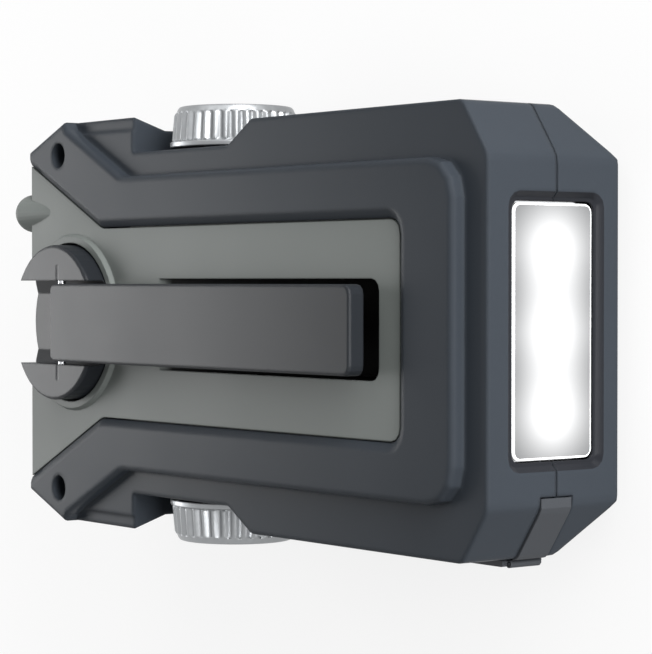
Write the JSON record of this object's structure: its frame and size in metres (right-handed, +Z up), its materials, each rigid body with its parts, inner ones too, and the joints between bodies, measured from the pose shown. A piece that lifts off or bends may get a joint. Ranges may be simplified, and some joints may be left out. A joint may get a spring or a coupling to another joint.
{
  "type": "hand crank radio flashlight",
  "caption": "Handheld radio with a folding crank on top, a wide lamp in the nose, ribbed knobs on both sides, a pull-out aerial and a display with keys underneath.",
  "frame": {"origin": "centre of the footprint, on the level that the rim of the display face lies on", "axes": "+X from the crank end to the lamp, +Y across the width towards the side with the aerial, +Z up from the display face to the crank"},
  "size_m": [0.155, 0.0888, 0.0412],
  "materials": {
    "slate_rubber": "soft-touch rubberised plastic, fine grain",
    "green_grey_shell": "satin moulded plastic, fine grain",
    "dark_plastic": "satin moulded plastic",
    "black_plastic": "matt black moulded plastic",
    "silver_knob": "satin silver, ribbed rim",
    "steel": "drawn or turned steel",
    "brass": "turned brass",
    "copper_wire": "enamelled copper winding",
    "clear_lens": "clear moulded lens",
    "reflector": "vacuum-metallised reflector",
    "board": "green circuit board",
    "led": "moulded lamp diodes",
    "gear_nylon": "natural nylon",
    "ferrite": "sintered ferrite",
    "cell_sleeve": "shrink sleeve on a steel can",
    "speaker_cone": "pressed paper cone",
    "display_glass": "flat display",
    "port_rubber": "soft black rubber"
  },
  "bodies": {
    "casing": {"back_frame": "slate_rubber", "front_frame": "slate_rubber", "back_panel": "green_grey_shell", "front_panel": "green_grey_shell", "display_window": "clear_lens", "display": "display_glass", "key_switches": "black_plastic", "lamp_lens": "clear_lens", "lamp_reflector": "reflector", "lamp_board": "board", "lamp_diodes": "led", "tuning_control": "black_plastic", "volume_control": "black_plastic", "shaft_bush": "brass", "gearbox_plate": "black_plastic", "gearbox_cover": "black_plastic", "generator": "steel", "aerial_sheath": "steel", "speaker_basket": "black_plastic", "speaker_cone": "speaker_cone", "speaker_magnet": "steel", "main_board": "board", "battery_cell": "cell_sleeve", "battery_cradle": "black_plastic", "ferrite_rod": "ferrite", "ferrite_coil": "copper_wire", "ferrite_holder": "black_plastic", "charging_port": "steel", "port_board": "board", "port_cover_pin": "port_rubber", "port_strap": "port_rubber", "end_screw_one": "steel", "end_screw_two": "steel", "nose_screw_one": "steel", "nose_screw_two": "steel"},
    "crank_hub": {"crank_hub": "dark_plastic", "crank_shaft": "steel", "drive_gear": "gear_nylon", "hinge_pin": "steel"},
    "crank_arm": {"crank_arm": "dark_plastic", "grip_pin": "steel"},
    "crank_grip": {"crank_grip": "dark_plastic"},
    "first_idler": {"first_idler_gear": "gear_nylon"},
    "second_idler": {"second_idler_gear": "gear_nylon"},
    "generator_rotor": {"rotor_shaft": "steel", "generator_pinion": "brass"},
    "tuning_knob": {"tuning_knob": "silver_knob", "tuning_shaft": "steel"},
    "volume_knob": {"volume_knob": "silver_knob", "volume_shaft": "steel"},
    "aerial_middle": {"aerial_middle": "steel"},
    "aerial_inner": {"aerial_inner": "steel"},
    "port_cover": {"port_cover": "port_rubber"},
    "power_key": {"power_key": "dark_plastic"},
    "mode_key": {"mode_key": "dark_plastic"},
    "lamp_key": {"lamp_key": "dark_plastic"},
    "scan_down_key": {"scan_down_key": "dark_plastic"},
    "scan_up_key": {"scan_up_key": "dark_plastic"}
  },
  "joints": [
    {"name": "crank_spin", "type": "hinge", "parent": "casing", "child": "crank_hub", "pos_m": [-0.0549, 0, 0.0312], "axis": [0, 0, 1], "continuous": true},
    {"name": "crank_fold", "type": "hinge", "parent": "crank_hub", "child": "crank_arm", "pos_m": [-0.0529, 0, 0.039], "axis": [0, -1, 0], "range_deg": [0, 180]},
    {"name": "grip_fold", "type": "hinge", "parent": "crank_arm", "child": "crank_grip", "pos_m": [0.045, 0, 0.0385], "axis": [0, -1, 0], "range_deg": [0, 90]},
    {"name": "first_idler_turn", "type": "hinge", "parent": "casing", "child": "first_idler", "pos_m": [-0.03983, -0.01055, 0.0195], "axis": [0, 0, 1], "continuous": true},
    {"name": "second_idler_turn", "type": "hinge", "parent": "casing", "child": "second_idler", "pos_m": [-0.03103, 0.00469, 0.016], "axis": [0, 0, 1], "continuous": true},
    {"name": "generator_turn", "type": "hinge", "parent": "casing", "child": "generator_rotor", "pos_m": [-0.01524, -0.00106, 0.016], "axis": [0, 0, 1], "continuous": true},
    {"name": "tuning_turn", "type": "hinge", "parent": "casing", "child": "tuning_knob", "pos_m": [-0.02, 0.036, 0.0171], "axis": [0, 1, 0], "range_deg": [-150, 150]},
    {"name": "volume_turn", "type": "hinge", "parent": "casing", "child": "volume_knob", "pos_m": [-0.02, -0.036, 0.0171], "axis": [0, -1, 0], "range_deg": [-150, 150]},
    {"name": "aerial_middle_slide", "type": "slide", "parent": "casing", "child": "aerial_middle", "axis": [-1, 0, 0], "range_m": [0, 0.095]},
    {"name": "aerial_inner_slide", "type": "slide", "parent": "aerial_middle", "child": "aerial_inner", "axis": [-1, 0, 0], "range_m": [0, 0.095]},
    {"name": "port_cover_swing", "type": "hinge", "parent": "casing", "child": "port_cover", "pos_m": [0.0689, -0.0411, 0.0171], "axis": [0, 0, 1], "range_deg": [0, 120]},
    {"name": "power_key_press", "type": "slide", "parent": "casing", "child": "power_key", "axis": [0, 0, 1], "range_m": [0, 0.0005], "stiffness_N_per_m": 300},
    {"name": "mode_key_press", "type": "slide", "parent": "casing", "child": "mode_key", "axis": [0, 0, 1], "range_m": [0, 0.0005], "stiffness_N_per_m": 300},
    {"name": "lamp_key_press", "type": "slide", "parent": "casing", "child": "lamp_key", "axis": [0, 0, 1], "range_m": [0, 0.0005], "stiffness_N_per_m": 300},
    {"name": "scan_down_key_press", "type": "slide", "parent": "casing", "child": "scan_down_key", "axis": [0, 0, 1], "range_m": [0, 0.0005], "stiffness_N_per_m": 300},
    {"name": "scan_up_key_press", "type": "slide", "parent": "casing", "child": "scan_up_key", "axis": [0, 0, 1], "range_m": [0, 0.0005], "stiffness_N_per_m": 300}
  ],
  "couplings": [
    {"joint": "first_idler_turn", "follows": "crank_spin", "ratio": -2.8333},
    {"joint": "second_idler_turn", "follows": "crank_spin", "ratio": 7.5556},
    {"joint": "generator_turn", "follows": "crank_spin", "ratio": -18.889}
  ]
}
